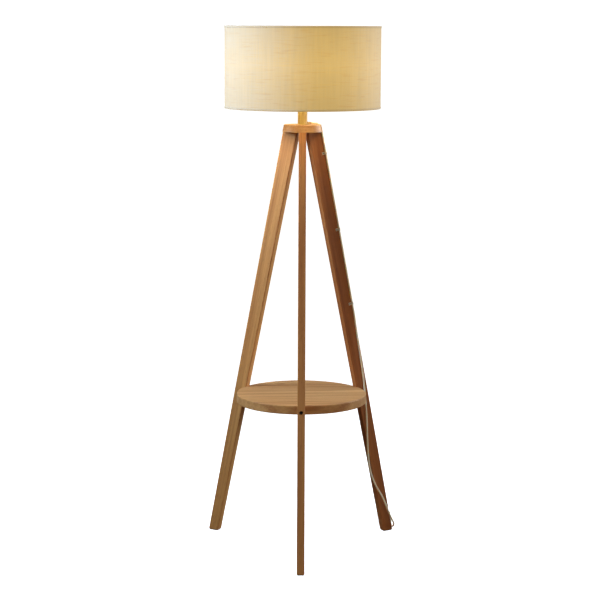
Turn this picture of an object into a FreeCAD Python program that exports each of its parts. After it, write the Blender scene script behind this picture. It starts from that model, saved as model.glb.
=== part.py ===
"""Tripod floor lamp: three splayed board legs, a round shelf, a turned neck and a drum shade.

Millimetres, +Z up. The lamp's axis is built on X = 0, Y = 0 with the front leg towards -Y, and
every solid is moved along Y at the end so that the origin is under the middle of the lamp.
"""
import FreeCAD
import Part

import math
import os

V = FreeCAD.Vector
UP = V(0, 0, 1)

# ---- driving dimensions -------------------------------------------------------------
TOTAL_HEIGHT = 1530.0
SHADE_RADIUS = 225.0
SHADE_HEIGHT = 235.0

# legs: boards standing on pads and meeting the head's underside
LEG_ANGLES = {"front": -90.0, "right": 30.0, "left": 150.0}
LEG_THICK = 22.0
LEG_OUTER_AT_FLOOR = 320.0
LEG_INNER_AT_FLOOR = 288.0
LEG_OUTER_SLOPE = 0.2117
LEG_INNER_SLOPE = 0.2244
LEG_EDGE_ROUND = 2.0
PAD_THICK = 3.0
PAD_INSET = 1.5
PAD_CORNER = 3.0

HEAD_TOP = 1248.5
HEAD_THICK = 20.5
HEAD_TOP_RADIUS = 54.0
HEAD_BOTTOM_RADIUS = 58.5
HEAD_EDGE_ROUND = 1.2

# two dowels and a screw hold each leg to the head, at these distances from the axis
DOWEL_RADIUS = 4.0
DOWEL_IN_HEAD = 10.0
DOWEL_IN_LEG = 18.0
DOWEL_PLACES = (25.0, 49.0)
SCREW_PLACE = 37.0
SCREW_RADIUS = 2.5
SCREW_HEAD_RADIUS = 4.5
SCREW_HEAD_LONG = 4.0
SCREW_SUNK = 0.5
SCREW_END = 1180.0
CROSS_LONG = 6.0
CROSS_WIDE = 1.2
CROSS_DEEP = 1.5

SHELF_RADIUS = 191.0
SHELF_BOTTOM = 434.5
SHELF_THICK = 25.0
SHELF_EDGE_ROUND = 2.0
BOLT_RADIUS = 3.0
BOLT_HEAD_RADIUS = 5.0
BOLT_HEAD_LONG = 5.0
BOLT_KEY_RADIUS = 2.9
BOLT_KEY_DEEP = 3.0
BOLT_END = 168.0
WELL_RADIUS = 5.6
WELL_DEEP = 9.0
INSERT_RADIUS = 4.5
INSERT_LONG = 14.0

NECK_RADIUS = 14.0
NECK_TOP = 1315.0
NECK_SOCKET = 10.0
NECK_BORE = 5.0
NECK_SIDE_BORE = 3.95
NECK_SCREW_RADIUS = 3.0
NECK_SCREW_TOP = 1245.5
NECK_SCREW_HEAD = (6.0, 4.0)
WASHER_THICK = 1.5
NIPPLE_RADIUS = 5.0
NIPPLE_BORE = 3.6
NIPPLE_BOTTOM = 1297.0
NIPPLE_TOP = 1324.0

# lampholder: two metal halves round a ceramic core
HOLDER_CAP_TOP = 1338.0
HOLDER_TOP = 1384.0
HOLDER_RADIUS = 19.5
HOLDER_WALL = 1.8
FLANGE_RADIUS = 24.0
FLANGE_TOP = 1346.0
CORE_BOTTOM = 1340.0
CORE_FLOOR = 1351.0
CORE_TOP = 1382.0
CORE_WELL_RADIUS = 14.9
SCREW_SHELL_INNER = 13.6
SCREW_SHELL_TOP = 1379.0
TERMINAL_RADIUS = 2.2
TERMINAL_LONG = 3.5
TERMINAL_PLACE = 9.0

SWITCH_HEIGHT = 1329.0
SWITCH_SHAFT_RADIUS = 2.0
SWITCH_SHAFT_START = 9.5
SWITCH_SHAFT_LONG = 26.0
SWITCH_BLOCK_START = 5.6
SWITCH_BLOCK = (9.0, 14.0, 13.0)
KNOB_START = 22.0
KNOB_LONG = 14.0
KNOB_RADII = (6.2, 5.0)
KNOB_BORE_LONG = 13.5
KNOB_FLUTES = 12

BULB_SCREW_RADIUS = 12.6
BULB_RIDGE = 3.6
BULB_CAP_BOTTOM = 1357.0
BULB_CAP_TOP = 1380.0
BULB_TIP_BOTTOM = 1355.8
BULB_TIP_RADIUS = 4.6
BULB_CENTRE = 1432.0
BULB_RADIUS = 30.0
BULB_NECK_LONG = 12.0
GLASS_THICK = 1.0

# shade: fabric on a stiff liner, taped over two rim wires and carried by a three-armed spider
LINER_THICK = 0.8
FABRIC_THICK = 0.6
TRIM_THICK = 0.5
TRIM_HEIGHT = 6.0
WIRE_RADIUS = 1.6
ARM_RADIUS = 1.8
ARM_ANGLES = (90.0, 210.0, 330.0)
ARM_START = 26.5
ARM_KNEE = 60.0
ARM_BEND = 30.0
SPIDER_RADIUS = 30.0
SPIDER_PLATE = 1.5
COLLAR_RADIUS = 25.0
COLLAR_HEIGHT = 6.0
COLLAR_NOTCHES = 24

CORD_DIAMETER = 5.0
EXIT_OVER_HEAD = 4.2
CORD_BEND = 15.0
LEAD_BEND = 7.0
GROOVE_BEND = 20.0
GROOVE_HALF = 3.2
CORD_SIDE_OFFSET = 13.8
CORD_EDGE_INSET = 3.0
SLEEVE_START = 8.5
SLEEVE_END = 26.0
SLEEVE_PLUG_LONG = 5.5
SLEEVE_TIP_RADIUS = 3.1
CLIP_HEIGHTS = (1165.0, 940.0, 716.0)
CLIP_LONG = 8.0
CLIP_WALL = 1.2
CLIP_TAB = 7.0
NAIL_RADIUS = 1.0
NAIL_HEAD = (2.2, 0.8)
NAIL_DEEP = 12.0
FREE_FROM = 680.0

# free part of the cord, from below the last clip to the hank, as points beside the lamp's axis
CORD_FREE = [
    (162.3, 75.5, 642.0),
    (173.5, 78.5, 570.0),
    (184.5, 83.5, 503.0),
    (191.5, 87.5, 437.0),
    (197.0, 90.5, 372.0),
    (199.5, 92.0, 307.0),
    (202.5, 94.0, 246.0),
    (210.5, 98.0, 193.0),
    (226.5, 104.0, 152.0),
    (245.0, 110.0, 122.0),
    (258.5, 116.0, 91.0),
    (269.0, 125.0, 63.0),
    (278.5, 137.0, 39.0),
    (287.0, 151.0, 21.0),
    (285.5, 166.5, 8.5),
    (282.0, 182.0, 2.5),
    (280.5, 198.0, 2.5),
    (279.0, 215.0, 2.5),
]

HANK_X = 264.5
HANK_Y = (205.0, 322.0)
HANK_WIDE = 35.0
HANK_WAIST = 16.0
HANK_HIGH = 18.0
TIE_THICK = 1.2
TIE_WIDE = 9.0
PLUG_START = 300.0
PLUG_WIDE = 25.0
PLUG_LONG = 30.0
PLUG_HIGH = 15.0
PLUG_CORNER = 4.0
RELIEF_LONG = 22.0
RELIEF_RADII = (3.4, 5.6)
BLADE = (1.5, 17.0, 6.4)
BLADE_INSIDE = 8.0
BLADE_PLACE = 6.35

FIT = 0.1
SNUG = 0.05
TURN_GAP = 0.3

os.makedirs("parts", exist_ok=True)


# ---- helpers ------------------------------------------------------------------------
def save(node, shape):
    """Move the shape into the row's frame and write it under its node name."""
    shape = shape.copy()
    shape.translate(V(0, AXIS_Y, 0))
    shape.exportStep("parts/" + node + ".step")
    print(node, "solids", len(shape.Solids), "volume", round(shape.Volume, 1), shape.isValid())


def group(shapes):
    return Part.makeCompound(shapes)


def polar(radius, angle, height=0.0):
    turn = math.radians(angle)
    return V(radius * math.cos(turn), radius * math.sin(turn), height)


def turned(profile):
    """A solid of revolution about the lamp's axis from (radius, height) corners."""
    points = [V(r, 0, z) for r, z in profile]
    face = Part.Face(Part.makePolygon(points + [points[0]]))
    return face.revolve(V(0, 0, 0), UP, 360)


def ring(outer, inner, low, high):
    return turned([(inner, low), (outer, low), (outer, high), (inner, high)])


def disc(radius, low, high):
    return Part.makeCylinder(radius, high - low, V(0, 0, low))


def around(shape, angle):
    """A copy of a shape that was built along +X, turned to a leg's or an arm's direction."""
    copy = shape.copy()
    copy.rotate(V(0, 0, 0), UP, angle)
    return copy


def outer_radius(height):
    return LEG_OUTER_AT_FLOOR - LEG_OUTER_SLOPE * height


def inner_radius(height):
    return LEG_INNER_AT_FLOOR - LEG_INNER_SLOPE * height


def on_leg(side, radius, offset, height):
    """A point beside a leg: offset is across its face, towards the front for the right leg."""
    out = polar(1.0, LEG_ANGLES[side])
    across = V(out.y, -out.x, 0)
    return out * radius + across * offset + V(0, 0, height)


def cord_beside_leg(height):
    """Where the clipped cord runs: on the right leg's front face, near its outer edge."""
    radius = outer_radius(height) - CORD_EDGE_INSET
    return on_leg("right", radius, CORD_SIDE_OFFSET, height)


def rounded_wire(points, radii=None):
    """Straight runs joined by tangent arcs, each as large as its two runs allow."""
    edges, at, found = [], points[0], []
    for i in range(1, len(points) - 1):
        corner = points[i]
        back, ahead = points[i - 1] - corner, points[i + 1] - corner
        turn = math.pi - back.getAngle(ahead)
        radius = 0.45 * min(back.Length, ahead.Length) / math.tan(turn / 2)
        if radii and radii.get(i):
            radius = radii[i]
        reach = radius * math.tan(turn / 2)
        back.normalize()
        ahead.normalize()
        begin, end = corner + back * reach, corner + ahead * reach
        middle = back + ahead
        middle.normalize()
        crest = corner + middle * (radius / math.cos(turn / 2) - radius)
        edges.append(Part.LineSegment(at, begin).toShape())
        edges.append(Part.Arc(begin, crest, end).toShape())
        found.append(round(radius, 1))
        at = end
    edges.append(Part.LineSegment(at, points[-1]).toShape())
    return Part.Wire(edges), found


def tube(points, diameter, radii=None):
    """A round tube along rounded_wire, with its radii and volume printed."""
    wire, found = rounded_wire(points, radii)
    start = points[1] - points[0]
    section = Part.Wire(Part.makeCircle(diameter / 2, points[0], start))
    solid = Part.Wire(wire.Edges).makePipeShell([section], True, True)
    expected = math.pi * diameter**2 / 4 * wire.Length
    print("  tube length", round(wire.Length, 1), "radii", found, "volume ratio",
          round(solid.Volume / expected, 4))
    return solid


# ---- derived dimensions -------------------------------------------------------------
AXIS_Y = (LEG_OUTER_AT_FLOOR - SHADE_RADIUS) / 2
HEAD_BOTTOM = HEAD_TOP - HEAD_THICK
CORD_EXIT_HEIGHT = HEAD_TOP + EXIT_OVER_HEAD
SHELF_MIDDLE = SHELF_BOTTOM + SHELF_THICK / 2
WELL_FLOOR = outer_radius(SHELF_MIDDLE) - WELL_DEEP
INSERT_MOUTH = inner_radius(SHELF_MIDDLE + SHELF_THICK / 2) - 1.0

HOLDER_BOTTOM = NECK_TOP + WASHER_THICK
HOLDER_INNER = HOLDER_RADIUS - HOLDER_WALL
SHADE_BOTTOM = TOTAL_HEIGHT - SHADE_HEIGHT
FABRIC_OUTER = SHADE_RADIUS - TRIM_THICK
FABRIC_INNER = FABRIC_OUTER - FABRIC_THICK
LINER_INNER = FABRIC_INNER - LINER_THICK
RIM_WIRE_RING = LINER_INNER - WIRE_RADIUS
SPIDER_LOW = FLANGE_TOP + TURN_GAP

CORD_RADIUS = CORD_DIAMETER / 2
LEAD_FLOOR = CORD_EXIT_HEIGHT - 4.2
CORD_TURN = cord_beside_leg(CORD_EXIT_HEIGHT)
CORD_OUT = V(CORD_TURN.x, CORD_TURN.y, 0)
CORD_OUT.normalize()
CORD_DOWN = cord_beside_leg(0) - CORD_TURN
CORD_DOWN.normalize()


# ---- legs, feet and head ------------------------------------------------------------
def leg_board(low, high, inset=0.0):
    """One splayed board along +X between two heights, its long edges slightly rounded."""
    corners = [
        V(inner_radius(low) + inset, 0, low),
        V(outer_radius(low) - inset, 0, low),
        V(outer_radius(high) - inset, 0, high),
        V(inner_radius(high) + inset, 0, high),
    ]
    face = Part.Face(Part.makePolygon(corners + [corners[0]]))
    half = LEG_THICK / 2 - inset
    face.translate(V(0, -half, 0))
    return face.extrude(V(0, 2 * half, 0))


def round_long_edges(board, radius):
    edges = [e for e in board.Edges if e.BoundBox.ZLength > 0.9 * board.BoundBox.ZLength]
    return board.makeFillet(radius, edges)


def bolt_cutters():
    """Bore and counterbore for a shelf bolt, along +X through a leg."""
    middle = V(0, 0, SHELF_MIDDLE)
    bore = Part.makeCylinder(BOLT_RADIUS + FIT, 120, middle + V(150, 0, 0), V(1, 0, 0))
    well = Part.makeCylinder(WELL_RADIUS, 60, middle + V(WELL_FLOOR, 0, 0), V(1, 0, 0))
    return bore.fuse(well)


def leg_dowels():
    """Wooden pegs between a leg's top and the head, along +X."""
    low, long = HEAD_BOTTOM - DOWEL_IN_LEG, DOWEL_IN_LEG + DOWEL_IN_HEAD
    return [Part.makeCylinder(DOWEL_RADIUS, long, V(r, 0, low)) for r in DOWEL_PLACES]


def leg_screw():
    """Countersunk screw driven down through the head into a leg."""
    top = HEAD_TOP - SCREW_SUNK
    shank = Part.makeCylinder(SCREW_RADIUS, top - SCREW_END, V(SCREW_PLACE, 0, SCREW_END))
    cone = Part.makeCone(SCREW_RADIUS, SCREW_HEAD_RADIUS, SCREW_HEAD_LONG - 1,
                         V(SCREW_PLACE, 0, top - SCREW_HEAD_LONG))
    rim = Part.makeCylinder(SCREW_HEAD_RADIUS, 1, V(SCREW_PLACE, 0, top - 1))
    slot = Part.makeBox(CROSS_LONG, CROSS_WIDE, CROSS_DEEP,
                        V(SCREW_PLACE - CROSS_LONG / 2, -CROSS_WIDE / 2, top - CROSS_DEEP))
    cross = Part.makeBox(CROSS_WIDE, CROSS_LONG, CROSS_DEEP,
                         V(SCREW_PLACE - CROSS_WIDE / 2, -CROSS_LONG / 2, top - CROSS_DEEP))
    return shank.fuse([cone, rim]).cut(slot).cut(cross)


def screw_cutter():
    shank = Part.makeCylinder(SCREW_RADIUS, 200, V(SCREW_PLACE, 0, SCREW_END))
    top = HEAD_TOP - SCREW_SUNK
    cone = Part.makeCone(SCREW_RADIUS, SCREW_HEAD_RADIUS, SCREW_HEAD_LONG - 1,
                         V(SCREW_PLACE, 0, top - SCREW_HEAD_LONG))
    rim = Part.makeCylinder(SCREW_HEAD_RADIUS, 3, V(SCREW_PLACE, 0, top - 1))
    return shank.fuse([cone, rim])


def leg():
    board = round_long_edges(leg_board(PAD_THICK, HEAD_BOTTOM), LEG_EDGE_ROUND)
    board = board.cut(bolt_cutters()).cut(screw_cutter())
    for peg in leg_dowels():
        board = board.cut(peg)
    return board


def foot_pad():
    """A felt pad under a leg, a little smaller than the leg's end."""
    low = leg_board(0, PAD_THICK, PAD_INSET)
    upright = [e for e in low.Edges if e.BoundBox.ZLength > 0.9 * PAD_THICK]
    return low.makeFillet(PAD_CORNER, upright)


def groove_along(corner, way_in, way_out, bend, half):
    """A square groove that follows a cord round a corner, open on its outer side."""
    turn = way_in.getAngle(way_out)
    reach = bend * math.tan(turn / 2)
    first, last = corner - way_in * reach, corner + way_out * reach
    inward = way_out - way_in
    inward.normalize()
    centre = corner + inward * (bend / math.cos(turn / 2))
    in_first, in_last = centre - first, centre - last
    in_first.normalize()
    in_last.normalize()
    in_mid = centre - corner
    in_mid.normalize()
    a, b = first + in_first * half, last + in_last * half
    crest = centre - in_mid * (bend - half)
    end = b + way_out * 40
    far = 40.0
    edges = [
        Part.Arc(a, crest, b).toShape(),
        Part.LineSegment(b, end).toShape(),
        Part.LineSegment(end, end - in_last * far).toShape(),
        Part.LineSegment(end - in_last * far, a - in_first * far).toShape(),
        Part.LineSegment(a - in_first * far, a).toShape(),
    ]
    normal = way_in.cross(way_out)
    normal.normalize()
    face = Part.Face(Part.Wire(edges))
    face.translate(normal * -half)
    return face.extrude(normal * (2 * half))


def head():
    """Round, slightly conical block that the legs hang from and the neck stands in."""
    block = turned([(0, HEAD_BOTTOM), (HEAD_BOTTOM_RADIUS, HEAD_BOTTOM),
                    (HEAD_TOP_RADIUS, HEAD_TOP), (0, HEAD_TOP)])
    rims = [e for e in block.Edges if e.Closed and e.BoundBox.ZLength < 0.1]
    block = block.makeFillet(HEAD_EDGE_ROUND, [e for e in rims if e.BoundBox.ZMin > HEAD_BOTTOM + 1])
    block = block.cut(disc(NECK_RADIUS, HEAD_TOP - NECK_SOCKET, HEAD_TOP + 5))
    block = block.cut(disc(NECK_SCREW_RADIUS, HEAD_BOTTOM - 5, HEAD_TOP))
    for angle in LEG_ANGLES.values():
        for cutter in leg_dowels() + [screw_cutter()]:
            block = block.cut(around(cutter, angle))
    groove = groove_along(CORD_TURN, CORD_OUT, CORD_DOWN, GROOVE_BEND, GROOVE_HALF)
    return block.cut(groove)


def neck_screw():
    """Screw from under the head that holds the neck in its socket."""
    shank = disc(NECK_SCREW_RADIUS, HEAD_BOTTOM, NECK_SCREW_TOP)
    radius, high = NECK_SCREW_HEAD
    return shank.fuse(disc(radius, HEAD_BOTTOM - high, HEAD_BOTTOM))


def neck():
    """Turned wooden post, bored from the top for the lead, with a side hole at its foot."""
    post = disc(NECK_RADIUS, HEAD_TOP - NECK_SOCKET, NECK_TOP)
    post = post.cut(disc(NECK_BORE, LEAD_FLOOR, NECK_TOP + 1))
    post = post.cut(disc(NECK_SCREW_RADIUS, HEAD_TOP - NECK_SOCKET - 1, NECK_SCREW_TOP))
    side = Part.makeCylinder(NECK_SIDE_BORE, 30, V(0, 0, CORD_EXIT_HEIGHT), CORD_OUT)
    return post.cut(side)


# ---- the shelf ----------------------------------------------------------------------
def shelf():
    board = disc(SHELF_RADIUS, SHELF_BOTTOM, SHELF_BOTTOM + SHELF_THICK)
    rims = [e for e in board.Edges if e.Closed and e.BoundBox.ZLength < 0.1]
    board = board.makeFillet(SHELF_EDGE_ROUND, rims)
    for angle in LEG_ANGLES.values():
        seat = leg_board(SHELF_BOTTOM - 20, SHELF_BOTTOM + SHELF_THICK + 20)
        board = board.cut(around(seat, angle))
        board = board.cut(around(shelf_insert(solid=True), angle))
        well = Part.makeCylinder(BOLT_RADIUS + FIT, 60, V(BOLT_END - 2, 0, SHELF_MIDDLE),
                                 V(1, 0, 0))
        board = board.cut(around(well, angle))
    return board


def shelf_insert(solid=False):
    """Threaded sleeve set in the shelf's edge, along +X."""
    start = V(INSERT_MOUTH - INSERT_LONG, 0, SHELF_MIDDLE)
    sleeve = Part.makeCylinder(INSERT_RADIUS, INSERT_LONG, start, V(1, 0, 0))
    if solid:
        return sleeve
    return sleeve.cut(Part.makeCylinder(BOLT_RADIUS + FIT, INSERT_LONG + 10,
                                        start - V(5, 0, 0), V(1, 0, 0)))


def shelf_bolt():
    """Socket head bolt through a leg into the shelf's edge, along +X."""
    head_at = V(WELL_FLOOR, 0, SHELF_MIDDLE)
    cap = Part.makeCylinder(BOLT_HEAD_RADIUS, BOLT_HEAD_LONG, head_at, V(1, 0, 0))
    cap = cap.makeFillet(0.6, [e for e in cap.Edges if e.BoundBox.XMax > WELL_FLOOR + 1
                               and e.BoundBox.XLength < 0.1])
    shank = Part.makeCylinder(BOLT_RADIUS, WELL_FLOOR - BOLT_END,
                              V(BOLT_END, 0, SHELF_MIDDLE), V(1, 0, 0))
    turns = [math.radians(60 * k) for k in range(6)]
    corners = [head_at + V(BOLT_HEAD_LONG - BOLT_KEY_DEEP, BOLT_KEY_RADIUS * math.cos(a),
                           BOLT_KEY_RADIUS * math.sin(a)) for a in turns]
    key = Part.Face(Part.makePolygon(corners + [corners[0]])).extrude(V(5, 0, 0))
    return cap.fuse(shank).cut(key)


# ---- lampholder and bulb --------------------------------------------------------------
def neck_nipple():
    return ring(NIPPLE_RADIUS, NIPPLE_BORE, NIPPLE_BOTTOM, NIPPLE_TOP)


def neck_washer():
    return ring(NECK_RADIUS + 2, NIPPLE_RADIUS, NECK_TOP, HOLDER_BOTTOM)


def holder_cap():
    """Lower cup of the lampholder, screwed on the nipple, with the switch's hole."""
    low, wall = HOLDER_BOTTOM, HOLDER_WALL
    cup = turned([(NIPPLE_RADIUS, low), (15.0, low), (HOLDER_RADIUS, low + 5),
                  (HOLDER_RADIUS, HOLDER_CAP_TOP), (HOLDER_RADIUS - wall, HOLDER_CAP_TOP),
                  (HOLDER_RADIUS - wall, low + 6), (14.0, low + wall), (NIPPLE_RADIUS, low + wall)])
    hole = Part.makeCylinder(SWITCH_SHAFT_RADIUS + TURN_GAP, 40, V(0, 0, SWITCH_HEIGHT), V(1, 0, 0))
    return cup.cut(hole)


def holder_shell():
    """Upper sleeve of the lampholder with the shoulder that carries the shade."""
    inner = HOLDER_INNER
    return turned([(inner, HOLDER_CAP_TOP), (FLANGE_RADIUS, HOLDER_CAP_TOP + 4), (FLANGE_RADIUS, FLANGE_TOP),
                   (HOLDER_RADIUS, FLANGE_TOP), (HOLDER_RADIUS, HOLDER_TOP), (inner, HOLDER_TOP)])


def holder_core():
    """Ceramic insert: a floor with the terminals and a well for the screw shell."""
    inner = HOLDER_INNER - FIT
    return turned([(0, CORE_BOTTOM), (inner, CORE_BOTTOM), (inner, CORE_TOP),
                   (CORE_WELL_RADIUS, CORE_TOP), (CORE_WELL_RADIUS, CORE_FLOOR), (0, CORE_FLOOR)])


def screw_shell():
    return ring(CORE_WELL_RADIUS - FIT, SCREW_SHELL_INNER, CORE_FLOOR, SCREW_SHELL_TOP)


def centre_contact():
    plate_top = CORE_FLOOR + 1.5
    return disc(4.0, CORE_FLOOR, plate_top).fuse(disc(2.5, plate_top, plate_top + 2.0))


def terminal_screws():
    low = CORE_BOTTOM - TERMINAL_LONG
    return [Part.makeCylinder(TERMINAL_RADIUS, TERMINAL_LONG, V(0, sign * TERMINAL_PLACE, low))
            for sign in (-1, 1)]


def shade_collar():
    low = FLANGE_TOP + SPIDER_PLATE + 2 * TURN_GAP
    grip = ring(COLLAR_RADIUS, HOLDER_RADIUS, low, low + COLLAR_HEIGHT)
    for k in range(COLLAR_NOTCHES):
        at = polar(COLLAR_RADIUS + 0.2, 360.0 / COLLAR_NOTCHES * k, low)
        notch = Part.makeCylinder(0.8, COLLAR_HEIGHT, at)
        grip = grip.cut(notch)
    return grip


def switch_shaft():
    """Round shaft from the switch block out through the cap, along +X."""
    start = V(SWITCH_SHAFT_START, 0, SWITCH_HEIGHT)
    return Part.makeCylinder(SWITCH_SHAFT_RADIUS, SWITCH_SHAFT_LONG, start, V(1, 0, 0))


def switch_knob():
    """Fluted turn knob on the shaft."""
    start = V(KNOB_START, 0, SWITCH_HEIGHT)
    knob = Part.makeCone(*KNOB_RADII, KNOB_LONG, start, V(1, 0, 0))
    ring_radius = KNOB_RADII[0] + 0.2
    for k in range(KNOB_FLUTES):
        turn = 2 * math.pi / KNOB_FLUTES * k
        at = start + V(2, ring_radius * math.cos(turn), ring_radius * math.sin(turn))
        knob = knob.cut(Part.makeCylinder(0.9, 20, at, V(1, 0, 0)))
    return knob.cut(Part.makeCylinder(SWITCH_SHAFT_RADIUS, KNOB_BORE_LONG, start, V(1, 0, 0)))


def switch_block():
    """Rotary switch body inside the cap, beside the lead."""
    long, wide, high = SWITCH_BLOCK
    low = V(SWITCH_BLOCK_START, -wide / 2, SWITCH_HEIGHT - high / 2)
    block = Part.makeBox(long, wide, high, low)
    seat = Part.makeCylinder(SWITCH_SHAFT_RADIUS + SNUG, long,
                             V(SWITCH_SHAFT_START, 0, SWITCH_HEIGHT), V(1, 0, 0))
    room = disc(NIPPLE_RADIUS + 0.5, HOLDER_BOTTOM, HOLDER_CAP_TOP)
    return block.cut(seat).cut(room)


def bulb_cap():
    """Threaded metal cap of the bulb, drawn as shallow rolled ridges."""
    profile = [(0, BULB_CAP_BOTTOM), (9.0, BULB_CAP_BOTTOM)]
    height = BULB_CAP_BOTTOM + 3.0
    profile.append((BULB_SCREW_RADIUS - 1.0, height))
    for _ in range(4):
        profile.append((BULB_SCREW_RADIUS, height + BULB_RIDGE / 2))
        profile.append((BULB_SCREW_RADIUS - 1.0, height + BULB_RIDGE))
        height += BULB_RIDGE
    profile += [(BULB_SCREW_RADIUS, BULB_CAP_TOP), (0, BULB_CAP_TOP)]
    return turned(profile)


def bulb_tip():
    return disc(BULB_TIP_RADIUS, BULB_TIP_BOTTOM, BULB_CAP_BOTTOM)


def bulb_outline(grow):
    """The bulb's side from neck to crown: a straight neck, a flare and a round crown."""
    r = BULB_RADIUS + grow
    neck_r = BULB_SCREW_RADIUS + grow
    low = V(neck_r, 0, BULB_CAP_TOP)
    neck_end = BULB_CAP_TOP + BULB_NECK_LONG
    shoulder = V(neck_r + 1.5, 0, neck_end)
    belly = V(r, 0, BULB_CENTRE)
    crown = V(0, 0, BULB_CENTRE + r)
    flare = V((neck_r + r) / 2 + 1.2, 0, (neck_end + BULB_CENTRE) / 2 + 0.5)
    high = V(r * math.cos(math.pi / 4), 0, BULB_CENTRE + r * math.sin(math.pi / 4))
    return low, [
        Part.LineSegment(low, shoulder).toShape(),
        Part.Arc(shoulder, flare, belly).toShape(),
        Part.Arc(belly, high, crown).toShape(),
    ], crown


def bulb_glass():
    low, outside, crown = bulb_outline(0.0)
    low_in, inside, crown_in = bulb_outline(-GLASS_THICK)
    edges = outside + [Part.LineSegment(crown, crown_in).toShape()] + inside[::-1]
    edges.append(Part.LineSegment(low_in, low).toShape())
    face = Part.Face(Part.Wire(Part.__sortEdges__(edges)))
    return face.revolve(V(0, 0, 0), UP, 360)


# ---- the shade ------------------------------------------------------------------------
def shade_skin(outer, inner):
    return ring(outer, inner, SHADE_BOTTOM + TRIM_THICK, TOTAL_HEIGHT - TRIM_THICK)


def rim_wire(height):
    return Part.makeTorus(RIM_WIRE_RING, WIRE_RADIUS, V(0, 0, height), UP)


def rim_trim(at_top):
    """Tape folded over a rim: outside, across the edge and down the inside to the wire."""
    edge = TOTAL_HEIGHT if at_top else SHADE_BOTTOM
    into = -1 if at_top else 1
    skin = edge + into * TRIM_THICK
    outside = edge + into * TRIM_HEIGHT
    profile = [(SHADE_RADIUS, edge), (SHADE_RADIUS, outside), (FABRIC_OUTER, outside),
               (FABRIC_OUTER, skin), (LINER_INNER, skin), (LINER_INNER, edge)]
    return turned(profile)


def spider_ring():
    return ring(SPIDER_RADIUS, HOLDER_RADIUS + TURN_GAP, SPIDER_LOW, SPIDER_LOW + SPIDER_PLATE)


def spider_arm():
    """Bent wire from the spider's ring out and down to the bottom rim wire, along +X."""
    high = SPIDER_LOW + SPIDER_PLATE + ARM_RADIUS
    low = SHADE_BOTTOM + TRIM_THICK + 2 * WIRE_RADIUS + ARM_RADIUS
    points = [V(ARM_START, 0, high), V(ARM_KNEE, 0, high), V(RIM_WIRE_RING, 0, low)]
    return tube(points, 2 * ARM_RADIUS, {1: ARM_BEND})


# ---- the cord ---------------------------------------------------------------------------
def cord_lead():
    """The clipped and hanging stretch, from the sleeve on the neck to the hank."""
    start = CORD_OUT * SLEEVE_END + V(0, 0, CORD_EXIT_HEIGHT)
    points = [start, CORD_TURN, cord_beside_leg(FREE_FROM)] + [V(*p) for p in CORD_FREE]
    return tube(points, CORD_DIAMETER, {1: CORD_BEND})


def inner_lead():
    """The same cord inside the neck, from the sleeve up to the lampholder."""
    foot = V(0, 0, CORD_EXIT_HEIGHT)
    points = [V(0, 0, NIPPLE_TOP + 4), foot, foot + CORD_OUT * SLEEVE_END]
    return tube(points, CORD_DIAMETER, {1: LEAD_BEND})


def exit_sleeve():
    """Tapered rubber strain relief round the cord where it leaves the neck."""
    foot = V(0, 0, CORD_EXIT_HEIGHT) + CORD_OUT * SLEEVE_START
    long = SLEEVE_END - SLEEVE_START
    radius = NECK_SIDE_BORE - SNUG
    plug = Part.makeCylinder(radius, SLEEVE_PLUG_LONG, foot, CORD_OUT)
    taper = Part.makeCone(radius, SLEEVE_TIP_RADIUS, long - SLEEVE_PLUG_LONG,
                          foot + CORD_OUT * SLEEVE_PLUG_LONG, CORD_OUT)
    bore = Part.makeCylinder(CORD_RADIUS, long + 20, foot - CORD_OUT * 10, CORD_OUT)
    return plug.fuse(taper).cut(bore)


def cord_clip(height):
    """A saddle over the clipped cord with a tab towards the leg's middle, its nail and hole."""
    at = cord_beside_leg(height)
    out = polar(1.0, LEG_ANGLES["right"])
    across = V(out.y, -out.x, 0)
    along = CORD_DOWN
    side = along.cross(across)
    side.normalize()
    if side.dot(out) > 0:
        side = side * -1
    base = at - across * (CORD_SIDE_OFFSET - LEG_THICK / 2)
    half_long, outer, room = CLIP_LONG / 2, CORD_RADIUS + CLIP_WALL, CORD_RADIUS + SNUG
    saddle = Part.makeCylinder(outer, CLIP_LONG, at - along * half_long, along)
    feet = plate(base, side, across, along, (-outer, outer), (0, outer - 1), half_long)
    tab = plate(base, side, across, along, (outer, outer + CLIP_TAB), (0, CLIP_WALL), half_long)
    body = saddle.fuse([feet, tab])
    body = body.cut(Part.makeCylinder(room, 60, at - along * 30, along))
    body = body.cut(plate(base, side, across, along, (-room, room), (-1, outer - 1), 30))
    body = body.cut(plate(base, side, across, along, (-20, 20), (-20, 0), 30))
    nail_at = base + side * (outer + CLIP_TAB / 2)
    point = nail_at - across * NAIL_DEEP
    hole = Part.makeCylinder(NAIL_RADIUS, NAIL_DEEP + 8, point, across)
    nail = Part.makeCylinder(NAIL_RADIUS, NAIL_DEEP + CLIP_WALL, point, across)
    nail = nail.fuse(Part.makeCylinder(*NAIL_HEAD, nail_at + across * CLIP_WALL, across))
    return body.cut(hole), nail, hole


def plate(base, side, across, along, sides, heights, half_long):
    """A block in a clip's own directions: sideways, off the leg and along the cord."""
    corners = [base + side * s + across * h - along * half_long
               for s, h in ((sides[0], heights[0]), (sides[1], heights[0]),
                            (sides[1], heights[1]), (sides[0], heights[1]))]
    face = Part.Face(Part.makePolygon(corners + [corners[0]]))
    return face.extrude(along * (2 * half_long))


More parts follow.
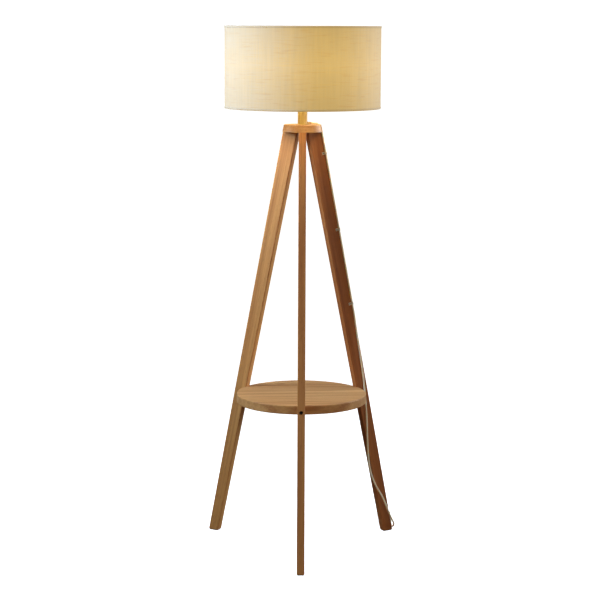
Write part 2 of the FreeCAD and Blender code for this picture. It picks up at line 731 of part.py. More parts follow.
def hank():
    """Outer shape of the folded spare cord: two looped ends and a tied waist."""
    low, high = HANK_Y
    middle = (low + high) / 2
    half, waist = HANK_WIDE / 2, HANK_WAIST / 2
    tied = TIE_WIDE / 2 + 1
    ends = []
    for sign, end in ((-1, low), (1, high)):
        shoulder = end - sign * (half + 6)
        ends.append([
            V(HANK_X - waist, middle + sign * tied, 0),
            V(HANK_X - half, shoulder, 0),
            V(HANK_X, end, 0),
            V(HANK_X + half, shoulder, 0),
            V(HANK_X + waist, middle + sign * tied, 0),
        ])
    a, b = ends
    outline = [
        Part.LineSegment(a[0], a[1]).toShape(),
        Part.Arc(a[1], a[2], a[3]).toShape(),
        Part.LineSegment(a[3], a[4]).toShape(),
        Part.LineSegment(a[4], b[4]).toShape(),
        Part.LineSegment(b[4], b[3]).toShape(),
        Part.Arc(b[3], b[2], b[1]).toShape(),
        Part.LineSegment(b[1], b[0]).toShape(),
        Part.LineSegment(b[0], a[0]).toShape(),
    ]
    return Part.Face(Part.Wire(outline)).extrude(V(0, 0, HANK_HIGH))


def hank_tie():
    """Velcro band round the hank's waist."""
    middle = (HANK_Y[0] + HANK_Y[1]) / 2
    wide, high = HANK_WAIST + 2 * SNUG, HANK_HIGH + SNUG
    outer = Part.makeBox(wide + 2 * TIE_THICK, TIE_WIDE, high + TIE_THICK,
                         V(HANK_X - wide / 2 - TIE_THICK, middle - TIE_WIDE / 2, 0))
    inner = Part.makeBox(wide, TIE_WIDE + 2, high + 1,
                         V(HANK_X - wide / 2, middle - TIE_WIDE / 2 - 1, -1))
    return outer.cut(inner)


def plug_body():
    """Moulded two-pin plug lying on the hank, its cable end towards the tie."""
    box = Part.makeBox(PLUG_WIDE, PLUG_LONG, PLUG_HIGH,
                       V(HANK_X - PLUG_WIDE / 2, PLUG_START, HANK_HIGH))
    sides = [e for e in box.Edges if e.BoundBox.YLength > 1]
    box = box.makeFillet(PLUG_CORNER, sides)
    tail = V(HANK_X, PLUG_START - RELIEF_LONG, HANK_HIGH + PLUG_HIGH / 2)
    body = box.fuse(Part.makeCone(*RELIEF_RADII, RELIEF_LONG, tail, V(0, 1, 0)))
    return body.cut(group(plug_blades()))


def plug_blades():
    thick, long, high = BLADE
    start = PLUG_START + PLUG_LONG - BLADE_INSIDE
    blades = []
    for sign in (-1, 1):
        at = V(HANK_X + sign * BLADE_PLACE - thick / 2, start, HANK_HIGH + (PLUG_HIGH - high) / 2)
        blades.append(Part.makeBox(thick, BLADE_INSIDE + long, high, at))
    return blades


# ---- write every node -------------------------------------------------------------------
clips = [cord_clip(h) for h in CLIP_HEIGHTS]
for side, angle in LEG_ANGLES.items():
    board = around(leg(), angle)
    if side == "right":
        for _, _, hole in clips:
            board = board.cut(hole)
    save("leg_" + side, board)

every = LEG_ANGLES.values()
save("foot_pads", group([around(foot_pad(), a) for a in every]))
save("leg_dowels", group([around(peg, a) for a in every for peg in leg_dowels()]))
save("leg_screws", group([around(leg_screw(), a) for a in every]))
save("head_block", head())
save("neck_post", neck())
save("neck_screw", neck_screw())
save("shelf", shelf())
save("shelf_bolts", group([around(shelf_bolt(), a) for a in every]))
save("shelf_inserts", group([around(shelf_insert(), a) for a in every]))

save("neck_nipple", neck_nipple())
save("neck_washer", neck_washer())
save("holder_cap", holder_cap())
save("holder_shell", holder_shell())
save("holder_core", holder_core())
save("holder_screw_shell", screw_shell())
save("holder_contact", centre_contact())
save("terminal_screws", group(terminal_screws()))
save("switch_block", switch_block())
save("switch_shaft", switch_shaft())
save("switch_knob", switch_knob())
save("bulb_cap", bulb_cap())
save("bulb_contact", bulb_tip())
save("bulb_glass", bulb_glass())

save("shade_collar", shade_collar())
save("shade_spider_ring", spider_ring())
save("shade_spider_arms", group([around(spider_arm(), a) for a in ARM_ANGLES]))
save("shade_fabric", shade_skin(FABRIC_OUTER, FABRIC_INNER))
save("shade_liner", shade_skin(FABRIC_INNER, LINER_INNER))
save("shade_wire_top", rim_wire(TOTAL_HEIGHT - TRIM_THICK - WIRE_RADIUS))
save("shade_wire_bottom", rim_wire(SHADE_BOTTOM + TRIM_THICK + WIRE_RADIUS))
save("shade_trim_top", rim_trim(True))
save("shade_trim_bottom", rim_trim(False))

save("inner_lead", inner_lead())
save("cord_sleeve", exit_sleeve())
save("cord_lead", cord_lead())
save("cord_clips", group([c[0] for c in clips]))
save("clip_nails", group([c[1] for c in clips]))
save("cord_hank", hank())
save("hank_tie", hank_tie())
save("plug_body", plug_body())
save("plug_blades", group(plug_blades()))
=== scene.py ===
"""Looks of the tripod floor lamp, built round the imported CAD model. Metres, +Z up, front at -Y."""

import math

import bpy
from mathutils import Matrix, Vector, noise


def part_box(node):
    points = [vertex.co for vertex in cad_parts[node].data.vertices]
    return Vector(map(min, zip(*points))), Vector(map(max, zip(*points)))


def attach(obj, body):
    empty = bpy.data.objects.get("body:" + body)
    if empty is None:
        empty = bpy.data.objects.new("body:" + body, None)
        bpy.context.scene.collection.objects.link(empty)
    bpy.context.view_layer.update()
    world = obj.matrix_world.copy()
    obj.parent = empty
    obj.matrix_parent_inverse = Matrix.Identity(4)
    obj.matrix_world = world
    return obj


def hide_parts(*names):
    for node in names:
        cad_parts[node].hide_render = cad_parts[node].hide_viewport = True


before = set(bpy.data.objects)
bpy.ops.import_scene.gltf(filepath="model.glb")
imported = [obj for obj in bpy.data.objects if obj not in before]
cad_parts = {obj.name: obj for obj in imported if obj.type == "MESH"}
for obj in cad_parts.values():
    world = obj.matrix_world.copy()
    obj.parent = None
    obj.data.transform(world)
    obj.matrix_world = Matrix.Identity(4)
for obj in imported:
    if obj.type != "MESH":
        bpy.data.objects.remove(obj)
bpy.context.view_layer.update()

# ---- places taken from the CAD model --------------------------------------------------
NECK_LOW, NECK_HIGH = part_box("neck_post")
AXIS = (NECK_LOW + NECK_HIGH) / 2
SKIN_LOW, SKIN_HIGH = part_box("shade_fabric")
SKIN_RADIUS = (SKIN_HIGH.x - SKIN_LOW.x) / 2
SHADE_LOW, SHADE_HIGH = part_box("shade_trim_bottom")[0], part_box("shade_trim_top")[1]
SHADE_RADIUS = (SHADE_HIGH.x - SHADE_LOW.x) / 2
BULB_LOW, BULB_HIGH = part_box("bulb_glass")
HANK_LOW, HANK_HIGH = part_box("cord_hank")
TIE_LOW, TIE_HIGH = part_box("hank_tie")
PLUG_LOW, PLUG_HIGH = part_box("plug_body")

# ---- camera ----------------------------------------------------------------------------
CAMERA_AWAY = 5.2
CAMERA_SIDE = -0.005
CAMERA_HEIGHT = 1.53
CAMERA_DOWN = math.radians(8.68)
CAMERA_ROLL = math.radians(0.26)
LENS_MM = 107.8
SENSOR_MM = 36.0

# ---- cord --------------------------------------------------------------------------------
CORD_DIAMETER = 0.005
CORD_RADIUS = CORD_DIAMETER / 2

# The route of the CAD cord, with one more point near each end of the long clipped stretch.
CORD_ROUTE = [
    (0.0251, 0.0543, 1.2527),
    (0.0518, 0.0614, 1.2527),
    (0.0571, 0.0645, 1.2234),
    (0.1498, 0.1181, 0.7180),
    (0.1568, 0.1221, 0.6800),
    (0.1623, 0.1230, 0.6420),
    (0.1735, 0.1260, 0.5700),
    (0.1845, 0.1310, 0.5030),
    (0.1915, 0.1350, 0.4370),
    (0.1970, 0.1380, 0.3720),
    (0.1995, 0.1395, 0.3070),
    (0.2025, 0.1415, 0.2460),
    (0.2105, 0.1455, 0.1930),
    (0.2265, 0.1515, 0.1520),
    (0.2450, 0.1575, 0.1220),
    (0.2585, 0.1635, 0.0910),
    (0.2690, 0.1725, 0.0630),
    (0.2785, 0.1845, 0.0390),
    (0.2870, 0.1985, 0.0210),
    (0.2855, 0.2140, 0.0085),
    (0.2820, 0.2295, 0.0025),
    (0.2805, 0.2455, 0.0025),
]

# The hank's turns: two runs that draw together under the tie, and a round fold at each end. The
# fold's points stand a little outside its radius, because the spline passes inside them.
HANK_TURNS = 3
TURN_RISE = 0.00515
RUN_STEPS = (-0.8, -0.45, 0.0, 0.45, 0.8)
RUN_SPREAD = 1.15
FOLD_ANGLES = range(0, 181, 30)
FOLD_RADIUS = 0.0156
FOLD_CORNER = 1.035
WAIST_HALF = 0.0052


def clamp(value):
    return max(0.0, min(1.0, value))


def smooth(value):
    value = clamp(value)
    return value * value * (3 - 2 * value)


def hank_turn():
    """One turn of the hank as (x, y) offsets from its middle, up its right side first."""
    run_end = (HANK_HIGH.y - HANK_LOW.y) / 2 - CORD_RADIUS - FOLD_RADIUS
    side = []
    for step in RUN_STEPS:
        spread = WAIST_HALF + (FOLD_RADIUS - WAIST_HALF) * smooth(abs(step) * RUN_SPREAD)
        side.append((spread, step * run_end))
    fold = []
    for angle in FOLD_ANGLES:
        turn = math.radians(angle)
        fold.append((FOLD_CORNER * FOLD_RADIUS * math.cos(turn),
                     run_end + FOLD_CORNER * FOLD_RADIUS * math.sin(turn)))
    half = side + fold
    return half + [(-x, -y) for x, y in half]


def hank_points():
    """The hank's turns, each climbing by a little more than the cord's diameter."""
    middle = (HANK_LOW + HANK_HIGH) / 2
    turn = hank_turn()
    points = []
    for k in range(HANK_TURNS):
        for i, (x, y) in enumerate(turn):
            rise = TURN_RISE * (k + i / len(turn))
            points.append((middle.x + x, middle.y + y, CORD_RADIUS + rise))
    return points


def plug_tail_points():
    """From the hank's near fold, up over the tie and straight into the plug's tail."""
    middle = (PLUG_LOW + PLUG_HIGH) / 2
    x, high = middle.x, middle.z
    top = CORD_RADIUS + TURN_RISE * HANK_TURNS
    near = HANK_LOW.y + CORD_RADIUS + FOLD_RADIUS
    return [
        (x + 0.0140, near + 0.0090, top + 0.0004),
        (x + 0.0095, near + 0.0185, top + 0.0020),
        (x + 0.0045, near + 0.0270, top + 0.0040),
        (x + 0.0010, TIE_LOW.y, high - 0.0008),
        (x, TIE_HIGH.y + 0.002, high),
        (x, PLUG_LOW.y + 0.004, high),
    ]


def nurbs(name, points, radius):
    """A round cord along one smooth NURBS spline, whose points carry the cord's radius."""
    data = bpy.data.curves.new(name, "CURVE")
    data.dimensions = "3D"
    data.bevel_depth = 1.0  # times each point's radius
    data.bevel_resolution = 5
    data.resolution_u = 10
    data.use_fill_caps = True
    spline = data.splines.new("NURBS")
    spline.points.add(len(points) - 1)
    for slot, point in zip(spline.points, points):
        slot.co, slot.radius = (*point, 1.0), radius
    spline.order_u = 3
    spline.use_endpoint_u = True
    piece = bpy.data.objects.new(name, data)
    bpy.context.collection.objects.link(piece)
    return piece


# ---- materials -----------------------------------------------------------------------------
class Graph:
    """A material and its nodes, with short calls for the patterns that are used here."""

    def __init__(self, name, **sockets):
        self.material = bpy.data.materials.new(name)
        self.material.use_nodes = True
        self.tree = self.material.node_tree
        self.shader = self.tree.nodes["Principled BSDF"]
        for socket, value in sockets.items():
            self.shader.inputs[socket.replace("_", " ")].default_value = value

    def add(self, kind, inputs=None, **settings):
        node = self.tree.nodes.new(kind)
        for key, value in settings.items():
            setattr(node, key, value)
        for key, value in (inputs or {}).items():
            if isinstance(value, bpy.types.NodeSocket):
                self.tree.links.new(value, node.inputs[key])
            else:
                node.inputs[key].default_value = value
        return node

    def coords(self, scale=(1, 1, 1), turn=(0, 0, 0), shift=(0, 0, 0)):
        """Object coordinates turned first and then stretched."""
        place = self.add("ShaderNodeTexCoord").outputs["Object"]
        turned = self.add("ShaderNodeMapping", {"Vector": place, "Rotation": turn,
                                                "Location": shift}).outputs["Vector"]
        return self.add("ShaderNodeMapping", {"Vector": turned, "Scale": scale}).outputs["Vector"]

    def noise(self, vector, scale, detail=3.0, rough=0.5):
        return self.add("ShaderNodeTexNoise", {"Vector": vector, "Scale": scale, "Detail": detail,
                                               "Roughness": rough}).outputs["Fac"]

    def span(self, value, low, high, to_low=0.0, to_high=1.0):
        """The value's range low..high carried over to another range, and held at its ends."""
        return self.add("ShaderNodeMapRange", {"Value": value, "From Min": low, "From Max": high,
                                               "To Min": to_low, "To Max": to_high}).outputs["Result"]

    def math(self, operation, a, b=0.0):
        return self.add("ShaderNodeMath", {0: a, 1: b}, operation=operation).outputs["Value"]

    def mix(self, factor, a, b, blend="MIX"):
        node = self.add("ShaderNodeMix", data_type="RGBA", blend_type=blend)
        for socket, value in ((node.inputs[0], factor), (node.inputs[6], a), (node.inputs[7], b)):
            if isinstance(value, bpy.types.NodeSocket):
                self.tree.links.new(value, socket)
            else:
                socket.default_value = value
        return node.outputs[2]

    def bump(self, height, strength, distance):
        normal = self.add("ShaderNodeBump", {"Height": height, "Strength": strength,
                                             "Distance": distance}).outputs["Normal"]
        self.plug("Normal", normal)

    def plug(self, socket, value):
        self.tree.links.new(value, self.shader.inputs[socket])


def srgb(red, green, blue):
    """A display colour, 0 to 255, as the linear colour that a shader takes."""
    out = []
    for part in (red, green, blue):
        part /= 255
        out.append(part / 12.92 if part <= 0.04045 else ((part + 0.055) / 1.055) ** 2.4)
    return (*out, 1.0)


def wood(name, grain, light, dark, seed):
    """Lacquered straight-grained wood whose grain runs along the given direction."""
    g = Graph(name, Coat_Weight=0.12, Coat_Roughness=0.4, Specular_IOR_Level=0.35)
    turn = Vector(grain).rotation_difference(Vector((0, 0, 1))).to_euler()
    shift = (seed * 0.37, seed * 0.61, seed * 0.23)
    bands = g.noise(g.coords((30, 30, 0.9), turn, shift), 1.6, 2.0, 0.45)
    lines = g.noise(g.coords((150, 150, 2.4), turn, shift), 1.5, 4.0, 0.6)
    fibres = g.noise(g.coords((900, 900, 14), turn, shift), 1.3, 3.0, 0.6)
    pores = g.noise(g.coords((520, 520, 22), turn, shift), 2.0, 1.0, 0.5)
    stain = g.noise(g.coords((3, 3, 1.2), turn, shift), 1.0, 2.0, 0.5)
    figure = g.math("ADD", g.math("MULTIPLY", g.span(bands, 0.35, 0.65), 0.55),
                    g.math("MULTIPLY", g.span(lines, 0.3, 0.7), 0.45))
    tone = g.mix(figure, dark, light)
    warm = g.mix(g.span(stain, 0.35, 0.7, 0.0, 0.30), tone, srgb(196, 128, 62), "SOFT_LIGHT")
    fibre = g.mix(g.span(fibres, 0.3, 0.7, 0.22, 0.0), warm, dark, "MULTIPLY")
    pore = g.span(pores, 0.66, 0.74)
    g.plug("Base Color", g.mix(g.math("MULTIPLY", pore, 0.55), fibre, srgb(70, 38, 18)))
    g.plug("Roughness", g.span(lines, 0.3, 0.7, 0.56, 0.44))
    relief = g.math("SUBTRACT", g.math("MULTIPLY", lines, 0.7), g.math("MULTIPLY", pore, 0.8))
    g.bump(relief, 0.25, 0.0004)
    return g.material


def linen(name, glow):
    """Slub linen stretched round the shade, with the lamp's warm light coming through it painted on as
    emission (painted glow).
    """
    g = Graph(name, Roughness=0.9, Sheen_Weight=0.2, Sheen_Roughness=0.5)
    place = g.add("ShaderNodeSeparateXYZ", {"Vector": g.coords(shift=(0, -AXIS.y, 0))})
    angle = g.math("ARCTAN2", place.outputs["Y"], place.outputs["X"])
    along = g.math("MULTIPLY", angle, SKIN_RADIUS)
    flat = g.add("ShaderNodeCombineXYZ", {"X": along, "Y": place.outputs["Z"], "Z": 0.0})

    def threads(scale, size, detail=2.0):
        stretched = g.add("ShaderNodeMapping", {"Vector": flat.outputs["Vector"],
                                                "Scale": scale}).outputs["Vector"]
        return g.noise(stretched, size, detail, 0.55)

    weft = threads((9, 420, 1), 1.0)
    warp = threads((520, 12, 1), 1.0)
    slubs = threads((16, 150, 1), 1.0, 3.0)
    uprights = threads((110, 7, 1), 1.0)
    slub = g.span(slubs, 0.55, 0.72)
    cloth = g.math("ADD", g.math("MULTIPLY", weft, 0.6), g.math("MULTIPLY", warp, 0.4))
    base = g.mix(g.span(cloth, 0.35, 0.65), srgb(120, 122, 120), srgb(142, 144, 144))
    base = g.mix(g.math("MULTIPLY", slub, 0.22), base, srgb(122, 116, 103))
    g.plug("Base Color", base)
    # Painted glow: the bulb's light through the cloth is emission, more orange in the slubs, strongest
    # at the bulb's height and fading towards the rims, and stronger where the weave is thin.
    g.plug("Emission Color", g.mix(g.math("MULTIPLY", slub, 0.4), srgb(255, 210, 114),
                                   srgb(240, 172, 60)))
    level = g.math("ABSOLUTE", g.math("SUBTRACT", place.outputs["Z"],
                                      (BULB_LOW.z + BULB_HIGH.z) / 2))
    height = g.span(level, 0.0, 0.16, 1.0, 0.72)
    glow_through_thin_weave = g.span(g.math("ADD", cloth, g.math("MULTIPLY", uprights, 0.4)), 0.5, 0.95, 1.12, 0.86)
    g.plug("Emission Strength", g.math("MULTIPLY", g.math("MULTIPLY", height, glow_through_thin_weave), glow))
    g.bump(g.math("ADD", cloth, g.math("MULTIPLY", slub, 0.8)), 0.5, 0.0005)
    return g.material


ROUGH_MARKS = 0.12


def metal(name, colour, rough):
    """Plated or polished metal with fine turning marks and slight tarnish."""
    g = Graph(name, Metallic=1.0)
    cloud = g.noise(g.coords(), 60.0, 3.0)
    scratches = g.noise(g.coords((40, 40, 900)), 1.0, 2.0)
    darker = (colour[0] * 0.72, colour[1] * 0.70, colour[2] * 0.66, 1.0)
    g.plug("Base Color", g.mix(g.span(cloud, 0.35, 0.7), colour, darker))
    g.plug("Roughness", g.span(g.math("ADD", cloud, scratches), 0.7, 1.3, rough - ROUGH_MARKS,
                               rough + ROUGH_MARKS))
    g.bump(scratches, 0.15, 0.0001)
    return g.material


def coated(name, colour, rough, grain=700.0, metallic=0.0, depth=0.0):
    """Moulded plastic, glaze or powder coat: a fine grain over a slightly uneven colour.

    A depth, in metres, lets light into a soft plastic.
    """
    g = Graph(name, Metallic=metallic)
    if depth:
        g.shader.inputs["Subsurface Weight"].default_value = 0.7
        g.shader.inputs["Subsurface Radius"].default_value = (1.0, 0.8, 0.6)
        g.shader.inputs["Subsurface Scale"].default_value = depth
    cloud = g.noise(g.coords(), 35.0, 3.0)
    fine = g.noise(g.coords(), grain, 2.0, 0.6)
    shade = (colour[0] * 0.82, colour[1] * 0.80, colour[2] * 0.78, 1.0)
    g.plug("Base Color", g.mix(g.span(cloud, 0.35, 0.68), colour, shade))
    g.plug("Roughness", g.span(fine, 0.3, 0.7, rough - 0.06, rough + 0.08))
    g.bump(fine, 0.3, 0.0001)
    return g.material


def cloth(name, colour, thread):
    """Felt, webbing or tape: two crossed threads over an uneven dye."""
    g = Graph(name, Roughness=0.95, Sheen_Weight=0.3, Sheen_Roughness=0.6)
    up = g.noise(g.coords((thread, thread, thread * 0.12)), 1.0, 2.0)
    across = g.noise(g.coords((thread * 0.12, thread * 0.12, thread)), 1.0, 2.0)
    dye = g.noise(g.coords(), 25.0, 2.0)
    weave = g.math("ADD", up, across)
    low = (colour[0] * 0.62, colour[1] * 0.60, colour[2] * 0.58, 1.0)
    base = g.mix(g.span(weave, 0.75, 1.25), low, colour)
    g.plug("Base Color", g.mix(g.span(dye, 0.4, 0.7, 0.0, 0.25), base, low))
    g.bump(weave, 0.6, 0.0004)
    return g.material


def glowing(name, colour, inner, strength, rough):
    """A white surface close to the bulb, lit through, its glow painted on as emission: liner card
    (painted light) or opal glass (the bulb's own glow).
    """
    g = Graph(name, Roughness=rough)
    mottle = g.noise(g.coords(), 120.0, 4.0, 0.6)
    g.plug("Base Color", g.mix(g.span(mottle, 0.35, 0.7, 0.0, 0.5), colour, srgb(226, 216, 196)))
    g.plug("Emission Color", g.mix(g.span(mottle, 0.3, 0.7, 0.0, 0.4), inner, colour))
    g.plug("Emission Strength", g.span(mottle, 0.3, 0.7, strength, strength * 0.88))
    g.bump(mottle, 0.2, 0.0001)
    return g.material


def dress(material, *nodes):
    """Give CAD nodes or new pieces one material."""
    for item in nodes:
        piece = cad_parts[item] if isinstance(item, str) else item
        piece.data.materials.clear()
        piece.data.materials.append(material)


# ---- new pieces ------------------------------------------------------------------------------
def mesh_piece(name, vertices, faces):
    data = bpy.data.meshes.new(name)
    data.from_pydata(vertices, [], faces)
    data.update()
    data.shade_smooth()
    piece = bpy.data.objects.new(name, data)
    bpy.context.collection.objects.link(piece)
    return piece


def grid_faces(columns, rows, wrap_columns=True, wrap_rows=False):
    """Faces over vertices that are listed column by column."""
    faces = []
    for i in range(columns if wrap_columns else columns - 1):
        for j in range(rows if wrap_rows else rows - 1):
            a, b = i * rows + j, ((i + 1) % columns) * rows + j
            up = (j + 1) % rows - j
            faces.append((a, b, b + up, a + up))
    return faces


SKIN_COLUMNS = 360
SKIN_ROWS = 61
SKIN_THICK = 0.0006
SKIN_RIPPLE = 0.00025
SEAM_ANGLE = math.radians(90)
SEAM_HALF = math.radians(1.4)
SEAM_STEP = 0.0004


def shade_skin():
    """Linen sleeve with slight ripples between its threads and a glued lap seam at the back."""
    vertices = []
    low, high = SKIN_LOW.z, SKIN_HIGH.z
    for i in range(SKIN_COLUMNS):
        angle = 2 * math.pi * i / SKIN_COLUMNS
        side = Vector((math.cos(angle), math.sin(angle), 0))
        lap = SEAM_STEP * (1 - smooth((abs(angle - SEAM_ANGLE) - SEAM_HALF) / 0.01))
        for j in range(SKIN_ROWS):
            height = low + (high - low) * j / (SKIN_ROWS - 1)
            across = Vector((side.x * 3, side.y * 3, height * 60))
            pull = noise.noise(across) + 0.5 * noise.noise(side * 9 + Vector((0, 0, height * 14)))
            radius = SKIN_RADIUS - SKIN_THICK / 2 + SKIN_RIPPLE * pull + lap
            vertices.append((AXIS.x + side.x * radius, AXIS.y + side.y * radius, height))
    piece = mesh_piece("shade_linen", vertices, grid_faces(SKIN_COLUMNS, SKIN_ROWS))
    wall = piece.modifiers.new("cloth", "SOLIDIFY")
    wall.thickness = SKIN_THICK
    wall.offset = 0.0
    return piece


TRIM_COLUMNS = 240
TRIM_HEIGHT = 0.0065
TRIM_THICK = 0.0011


def shade_trim(name, edge, into):
    """Tape rolled over one rim of the shade: a soft bead at the edge and a flat hem."""
    outer, inner = SHADE_RADIUS + 0.0004, SHADE_RADIUS - 0.0045
    section = [(outer - 0.0009, TRIM_HEIGHT), (outer - 0.0002, TRIM_HEIGHT * 0.93),
               (outer, TRIM_HEIGHT * 0.7), (outer, TRIM_HEIGHT * 0.35),
               (outer - 0.0003, TRIM_HEIGHT * 0.12), (outer - 0.0014, 0.0),
               (inner + 0.0010, 0.0), (inner, TRIM_HEIGHT * 0.16), (inner, TRIM_HEIGHT * 0.5),
               (inner + TRIM_THICK, TRIM_HEIGHT * 0.5), (inner + TRIM_THICK, TRIM_THICK),
               (outer - 2 * TRIM_THICK, TRIM_THICK), (outer - 1.6 * TRIM_THICK, TRIM_HEIGHT)]
    vertices = []
    for i in range(TRIM_COLUMNS):
        angle = 2 * math.pi * i / TRIM_COLUMNS
        wave = Vector((math.cos(angle) * 8, math.sin(angle) * 8, edge * 5))
        bulge = 0.00018 * noise.noise(wave)
        hem = 0.0003 * noise.noise(wave * 1.7)
        for radius, rise in section:
            far = radius + bulge
            vertices.append((AXIS.x + far * math.cos(angle), AXIS.y + far * math.sin(angle),
                             edge + into * (rise + (hem if rise > TRIM_HEIGHT * 0.6 else 0.0))))
    faces = grid_faces(TRIM_COLUMNS, len(section), wrap_rows=True)
    return mesh_piece(name, vertices, faces)


TIE_STEPS = 72
TIE_TURNS = 1.12
TIE_START = -0.2
TIE_WALL = 0.0010
TIE_SQUARE = 0.42
LAP_START, LAP_LONG = 5.6, 0.6
LAP_RISE = 0.0011


def tie_band():
    """Hook and loop band drawn tight round the hank, its loose end lapped on top."""
    middle = (TIE_LOW + TIE_HIGH) / 2
    half_wide = (TIE_HIGH.x - TIE_LOW.x) / 2
    high, wide = TIE_HIGH.z + 0.0006, TIE_HIGH.y - TIE_LOW.y
    crowns = [(-0.5, 0.0), (-0.46, 0.0004), (0.0, 0.0006), (0.46, 0.0004), (0.5, 0.0)]
    vertices = []
    for i in range(TIE_STEPS):
        turn = TIE_TURNS * 2 * math.pi * i / (TIE_STEPS - 1) + TIE_START
        lap = LAP_RISE * smooth((turn - LAP_START) / LAP_LONG)
        across = math.copysign(abs(math.cos(turn)) ** TIE_SQUARE, math.cos(turn))
        up = math.copysign(abs(math.sin(turn)) ** TIE_SQUARE, math.sin(turn))
        for place, crown in crowns:
            out = lap + crown
            height = high / 2 + (high / 2 - 0.0006 + out) * up
            vertices.append((middle.x + (half_wide - 0.0008 + out) * across,
                             middle.y + place * wide,
                             max(TIE_WALL + 0.0004, height)))
    faces = grid_faces(TIE_STEPS, len(crowns), wrap_columns=False)
    piece = mesh_piece("tie_band", vertices, faces)
    wall = piece.modifiers.new("band", "SOLIDIFY")
    wall.thickness = TIE_WALL
    wall.offset = -1.0
    return piece


# ---- camera, light and floor --------------------------------------------------------------------
def add_camera():
    data = bpy.data.cameras.new("camera")
    data.lens, data.sensor_width = LENS_MM, SENSOR_MM
    camera = bpy.data.objects.new("camera", data)
    bpy.context.collection.objects.link(camera)
    place = Matrix.Translation((CAMERA_SIDE, AXIS.y - CAMERA_AWAY, CAMERA_HEIGHT))
    tilt = Matrix.Rotation(math.pi / 2 - CAMERA_DOWN, 4, "X")
    camera.matrix_world = place @ tilt @ Matrix.Rotation(CAMERA_ROLL, 4, "Z")
    bpy.context.scene.camera = camera


def area_light(name, place, aim, size, power, colour):
    data = bpy.data.lights.new(name, "AREA")
    data.shape, data.size, data.energy, data.color = "DISK", size, power, colour
    light = bpy.data.objects.new(name, data)
    light.location = place
    light.rotation_euler = (Vector(place) - Vector(aim)).to_track_quat("Z", "Y").to_euler()
    bpy.context.collection.objects.link(light)
    return light


BULB_WATTS = 3.4
BULB_COLOUR = (1.0, 0.88, 0.54)
BULB_SIZE = 0.036
WORLD_BELOW = (0.10, 0.065, 0.038, 1.0)
WORLD_ABOVE = (0.34, 0.30, 0.26, 1.0)
WORLD_TOP = 0.8


def add_lights():
    """Cool daylight from the left, softer light behind and in front, and the lamp's own bulb."""
    window = area_light("window", (-1.9, -0.28, 2.1), (0, AXIS.y, 1.3), 1.0, 17.0,
                        (0.66, 0.84, 1.0))
    window.data.spread = math.radians(76)
    area_light("front_fill", (1.7, -2.3, 1.3), (0, AXIS.y, 0.9), 1.2, 11.0, (1.0, 0.90, 0.80))
    area_light("back_fill", (2.45, 1.2, 1.7), (0, AXIS.y, 1.1), 1.6, 66.0, (0.74, 0.86, 1.0))
    glow = bpy.data.lights.new("bulb_light", "POINT")
    glow.energy, glow.color, glow.shadow_soft_size = BULB_WATTS, BULB_COLOUR, BULB_SIZE
    lamp = bpy.data.objects.new("bulb_light", glow)
    lamp.location = (BULB_LOW + BULB_HIGH) / 2
    lamp.visible_camera = False
    bpy.context.collection.objects.link(lamp)


def add_world():
    """A dim room, warm and dark below and paler above."""
    world = bpy.data.worlds.new("studio")
    world.use_nodes = True
    nodes, links = world.node_tree.nodes, world.node_tree.links
    place = nodes.new("ShaderNodeTexCoord")
    split = nodes.new("ShaderNodeSeparateXYZ")
    ramp = nodes.new("ShaderNodeValToRGB")
    links.new(place.outputs["Generated"], split.inputs["Vector"])
    links.new(split.outputs["Z"], ramp.inputs["Fac"])
    links.new(ramp.outputs["Color"], nodes["Background"].inputs["Color"])
    below, above = ramp.color_ramp.elements
    below.position, below.color = 0.0, WORLD_BELOW
    above.position, above.color = WORLD_TOP, WORLD_ABOVE
    bpy.context.scene.world = world


FLOOR_START = 0.0002
FLOOR_FLAT = 12.0
FLOOR_SWEEP = 4.0
FLOOR_TOP = 12.0
FLOOR_COLUMNS = 64
SWEEP_STEPS = 12


def add_floor():
    """Pale round floor that sweeps up into a wall all the way round, far behind every camera.

    It throws no light or shadow on the lamp, which the lights and the world light alone.
    """
    profile = [(FLOOR_START, 0.0), (FLOOR_FLAT, 0.0)]
    for k in range(1, SWEEP_STEPS + 1):
        turn = math.radians(90 * k / SWEEP_STEPS)
        profile.append((FLOOR_FLAT + FLOOR_SWEEP * math.sin(turn),
                        FLOOR_SWEEP * (1 - math.cos(turn))))
    profile.append((FLOOR_FLAT + FLOOR_SWEEP, FLOOR_TOP))
    vertices = []
    for i in range(FLOOR_COLUMNS):
        angle = 2 * math.pi * i / FLOOR_COLUMNS
        vertices += [(far * math.cos(angle), far * math.sin(angle), z) for far, z in profile]
    floor = mesh_piece("floor", vertices, grid_faces(FLOOR_COLUMNS, len(profile)))
    g = Graph("pale_floor", Roughness=0.85, Emission_Color=(0.98, 0.99, 1.0, 1.0),
              Emission_Strength=0.93)
    cloud = g.noise(g.coords(), 2.0, 4.0)
    g.plug("Base Color", g.mix(g.span(cloud, 0.3, 0.7), srgb(246, 246, 245), srgb(250, 250, 250)))
    dress(g.material, floor)
    floor.visible_diffuse = floor.visible_glossy = floor.visible_shadow = False


# ---- scene: camera and cord first -----------------------------------------------------------------
bpy.context.scene.view_settings.view_transform = "Standard"
add_camera()

cord = nurbs("cord", CORD_ROUTE + hank_points() + plug_tail_points(), CORD_RADIUS)
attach(cord, "lamp")
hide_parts("cord_lead", "cord_hank")

tie = tie_band()
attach(tie, "lamp")
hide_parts("hank_tie")

# ---- the shade --------------------------------------------------------------------------------------
skin = shade_skin()
trims = [shade_trim("trim_top", SHADE_HIGH.z, -1), shade_trim("trim_bottom", SHADE_LOW.z, 1)]
for piece, node, slot in ((skin, "shade_fabric", "linen"), (trims[0], "shade_trim_top", "linen_tape"),
                          (trims[1], "shade_trim_bottom", "linen_tape")):
    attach(piece, "shade")
    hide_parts(node)

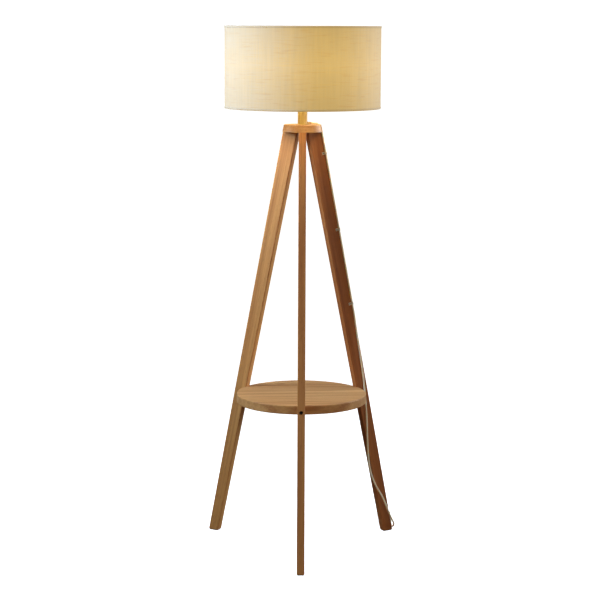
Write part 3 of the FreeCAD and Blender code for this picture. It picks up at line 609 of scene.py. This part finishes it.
# ---- finishes ----------------------------------------------------------------------------------------
LEG_LEAN = 0.217
# One wood in lit and shaded copies: the left leg's colours are painted lighter (painted light from the
# left), the right leg's painted darker (painted shade), the front leg's lie in between.
LEG_WOODS_LIT_AND_SHADED = (
    ("leg_front", -90, srgb(216, 164, 102), srgb(170, 112, 62)),
    ("leg_right", 30, srgb(192, 130, 78), srgb(152, 96, 54)),
    ("leg_left", 150, srgb(232, 184, 116), srgb(186, 128, 76)),
)
for seed, (node, angle, light, dark) in enumerate(LEG_WOODS_LIT_AND_SHADED, 3):
    turn = math.radians(angle)
    lean = Vector((-LEG_LEAN * math.cos(turn), -LEG_LEAN * math.sin(turn), 1))
    dress(wood(node + "_wood", lean, light, dark, seed), node)
dress(wood("head_wood", (1, 0.2, 0), srgb(204, 168, 112), srgb(160, 114, 68), 9), "head_block")
dress(wood("neck_wood", (0, 0, 1), srgb(202, 188, 124), srgb(174, 154, 92), 14), "neck_post")
dress(wood("shelf_wood", (1, 0.1, 0), srgb(220, 178, 122), srgb(172, 122, 74), 21), "shelf")
dress(wood("dowel_wood", (0, 0, 1), srgb(224, 200, 160), srgb(200, 170, 124), 30), "leg_dowels")
dress(cloth("felt", srgb(92, 82, 72), 500.0), "foot_pads")
dress(coated("black_oxide", srgb(44, 42, 40), 0.42, 900.0, metallic=0.8), "shelf_bolts")
dress(metal("zinc", srgb(196, 196, 192), 0.32), "leg_screws", "neck_screw", "shelf_inserts",
      "clip_nails", "plug_blades", "terminal_screws", "neck_washer")
dress(metal("brass", srgb(214, 176, 104), 0.30), "neck_nipple", "holder_screw_shell",
      "holder_contact", "bulb_contact")
dress(metal("cap_metal", srgb(200, 198, 192), 0.28), "bulb_cap")
dress(coated("phenolic", srgb(40, 38, 36), 0.30, 500.0), "holder_cap", "holder_shell",
      "shade_collar")
dress(coated("ceramic", srgb(236, 232, 222), 0.22, 300.0), "holder_core")
dress(coated("black_plastic", srgb(36, 35, 34), 0.5), "switch_block", "switch_knob",
      "switch_shaft")
dress(coated("white_coat", srgb(238, 234, 226), 0.45, 900.0), "shade_spider_ring",
      "shade_spider_arms", "shade_wire_top", "shade_wire_bottom")
# The liner's glow is painted light: emission standing in for the bulb's light falling on the card.
dress(glowing("liner_card_painted_glow", srgb(246, 242, 232), srgb(255, 208, 118), 1.5, 0.6), "shade_liner")
dress(glowing("opal_glass", srgb(255, 250, 240), srgb(255, 226, 170), 3.0, 0.25), "bulb_glass")
# The shade's linen and its rim tape carry the bulb's light painted on as emission.
dress(linen("slub_linen_painted_glow", 0.64), skin)
dress(linen("linen_tape", 0.50), *trims)
dress(coated("cord_sheath", srgb(250, 240, 216), 0.45, 1200.0, depth=0.006), cord, "inner_lead")
dress(coated("sleeve_rubber", srgb(200, 176, 138), 0.6), "cord_sleeve")
dress(coated("clip_plastic", srgb(244, 234, 212), 0.45, depth=0.004), "cord_clips")
dress(coated("plug_plastic", srgb(224, 206, 172), 0.5), "plug_body")
dress(cloth("hook_band", srgb(62, 60, 58), 1500.0), tie)

add_floor()
add_lights()
add_world()

bpy.context.view_layer.update()
